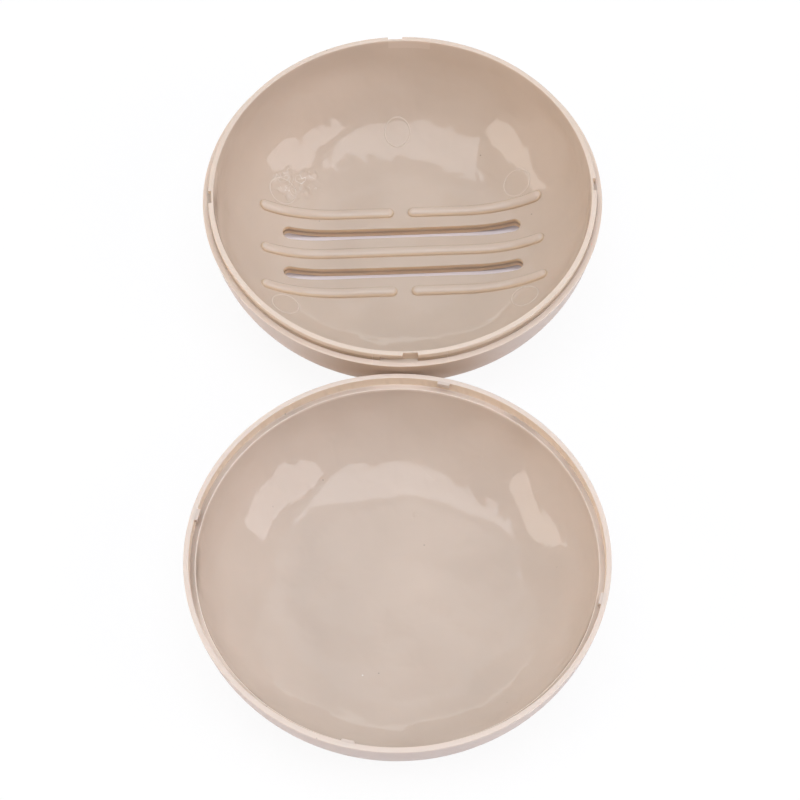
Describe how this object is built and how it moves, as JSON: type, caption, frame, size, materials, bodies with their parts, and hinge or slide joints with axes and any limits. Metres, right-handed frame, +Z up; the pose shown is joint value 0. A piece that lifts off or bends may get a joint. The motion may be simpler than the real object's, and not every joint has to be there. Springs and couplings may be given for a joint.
{
  "type": "travel soap box",
  "caption": "Round travel soap box of two moulded shells: a dish with soap ribs, drain slots and a notched spigot, and a domed lid with bayonet lugs, lying open side by side.",
  "frame": {"origin": "on the surface the two shells lie on, midway between their centres, at the centre of the base of the whole box", "axes": "+Z up out of both open shells, +Y from the lid towards the dish, +X along the soap ribs (which are turned 2 degrees from it)"},
  "size_m": [0.1118, 0.2202, 0.034],
  "materials": {
    "dish_shell": "warm beige, glossy inside, satin outside",
    "lid_shell": "warm beige, glossy inside, satin outside"
  },
  "bodies": {
    "dish": {"dish": "dish_shell"},
    "lid": {"lid": "lid_shell"}
  },
  "joints": [
    {"name": "lid_lift", "type": "slide", "parent": "dish", "child": "lid", "axis": [0, 0, 1], "range_m": [0, 0.06]}
  ]
}
